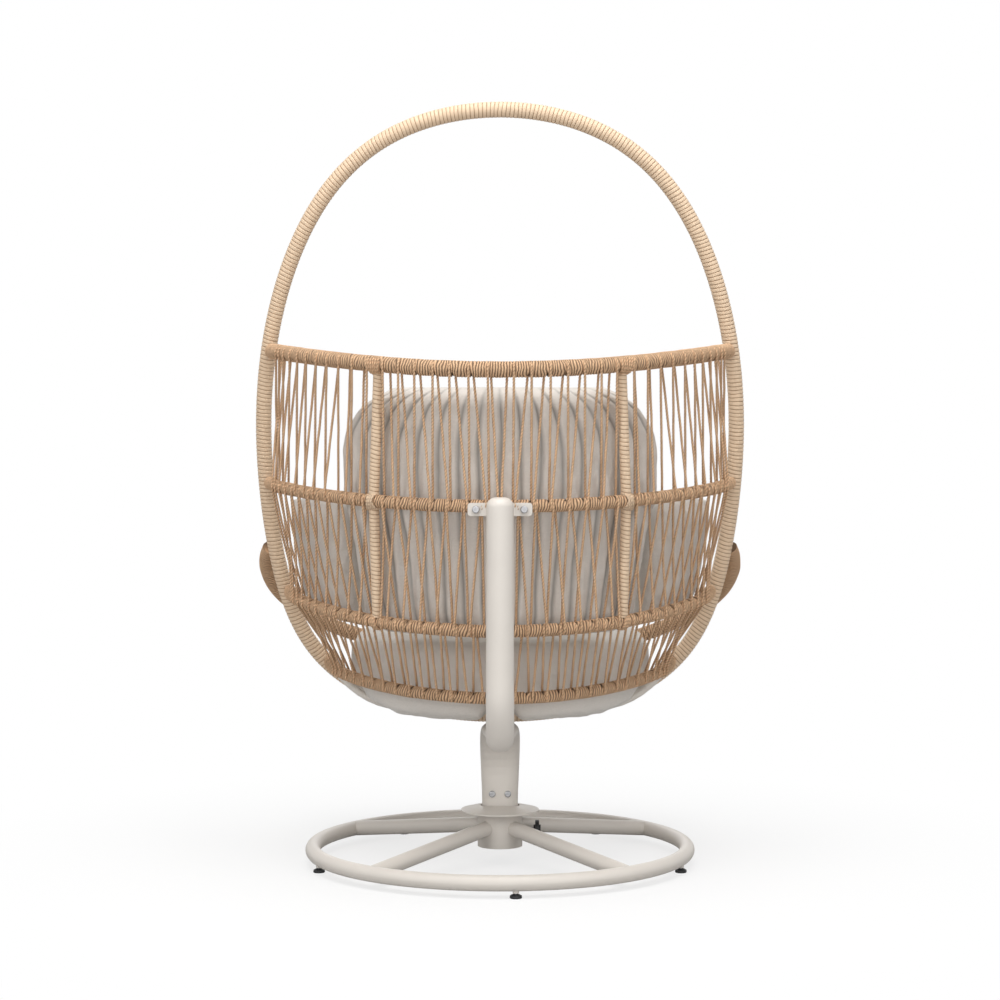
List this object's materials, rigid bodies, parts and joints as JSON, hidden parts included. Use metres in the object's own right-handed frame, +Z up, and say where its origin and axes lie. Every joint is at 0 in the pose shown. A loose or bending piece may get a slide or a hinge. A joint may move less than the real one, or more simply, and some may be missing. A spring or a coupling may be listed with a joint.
{
  "type": "swivel egg chair",
  "caption": "Garden egg chair: a roped basket with padded seat and back, carried by one bent arm that swivels on a ring base with levelling feet.",
  "frame": {"origin": "on the floor under the swivel axis", "axes": "+Z up, the sitter looks along -Y, the arm stands at +Y"},
  "size_m": [0.9912, 0.8999, 1.505],
  "materials": {
    "stand_paint": "satin powder coat",
    "clamp_paint": "satin powder coat",
    "bearing_plastic": "smooth",
    "black_plastic": "satin",
    "fastener_steel": "zinc plated",
    "flat_rattan": "flat strip wound round a tube",
    "rope_wrap": "twisted cord wound round a tube",
    "rope": "twisted cord",
    "cushion_linen": "plain weave"
  },
  "bodies": {
    "base": {"base_ring": "stand_paint", "foot_inserts": "stand_paint", "rear_spokes": "stand_paint", "front_spokes": "stand_paint", "hub_tube": "stand_paint", "knob_boss": "stand_paint", "lower_bush": "bearing_plastic", "upper_bush": "bearing_plastic", "thrust_washer": "bearing_plastic"},
    "seat": {"arm_tube": "stand_paint", "back_cushion": "cushion_linen", "clamp_bolts": "fastener_steel", "clamp_plate": "clamp_paint", "front_rail": "rope_wrap", "hoop": "flat_rattan", "hub_cover": "stand_paint", "left_bolster": "cushion_linen", "post_bolts": "fastener_steel", "rail_1": "rope_wrap", "rail_2": "rope_wrap", "rail_3": "rope_wrap", "rail_4": "rope_wrap", "retaining_bolt": "fastener_steel", "retaining_washer": "fastener_steel", "ribs": "flat_rattan", "right_bolster": "cushion_linen", "ropes_front": "rope", "ropes_lower_inner": "rope", "ropes_lower_outer": "rope", "ropes_middle_inner": "rope", "ropes_middle_outer": "rope", "ropes_upper_inner": "rope", "ropes_upper_outer": "rope", "seat_bars": "stand_paint", "seat_bolts": "fastener_steel", "seat_bracket": "stand_paint", "seat_cushion": "cushion_linen", "seat_spine": "stand_paint", "spindle": "fastener_steel"},
    "lock_knob": {"lock_screw": "fastener_steel", "lock_knob": "black_plastic"},
    "foot_1": {"foot_glide_1": "black_plastic", "foot_stem_1": "fastener_steel"},
    "foot_2": {"foot_glide_2": "black_plastic", "foot_stem_2": "fastener_steel"},
    "foot_3": {"foot_glide_3": "black_plastic", "foot_stem_3": "fastener_steel"},
    "foot_4": {"foot_glide_4": "black_plastic", "foot_stem_4": "fastener_steel"},
    "foot_5": {"foot_glide_5": "black_plastic", "foot_stem_5": "fastener_steel"}
  },
  "joints": [
    {"name": "basket_swivel", "type": "hinge", "parent": "base", "child": "seat", "pos_m": [0, 0, 0], "axis": [0, 0, 1], "continuous": true},
    {"name": "lock_knob_turn", "type": "hinge", "parent": "base", "child": "lock_knob", "pos_m": [-0.074, 0, 0.064], "axis": [-1, 0, 0], "continuous": true},
    {"name": "foot_1_level", "type": "slide", "parent": "base", "child": "foot_1", "axis": [0, 0, -1], "range_m": [0, 0.006]},
    {"name": "foot_2_level", "type": "slide", "parent": "base", "child": "foot_2", "axis": [0, 0, -1], "range_m": [0, 0.006]},
    {"name": "foot_3_level", "type": "slide", "parent": "base", "child": "foot_3", "axis": [0, 0, -1], "range_m": [0, 0.006]},
    {"name": "foot_4_level", "type": "slide", "parent": "base", "child": "foot_4", "axis": [0, 0, -1], "range_m": [0, 0.006]},
    {"name": "foot_5_level", "type": "slide", "parent": "base", "child": "foot_5", "axis": [0, 0, -1], "range_m": [0, 0.006]}
  ]
}
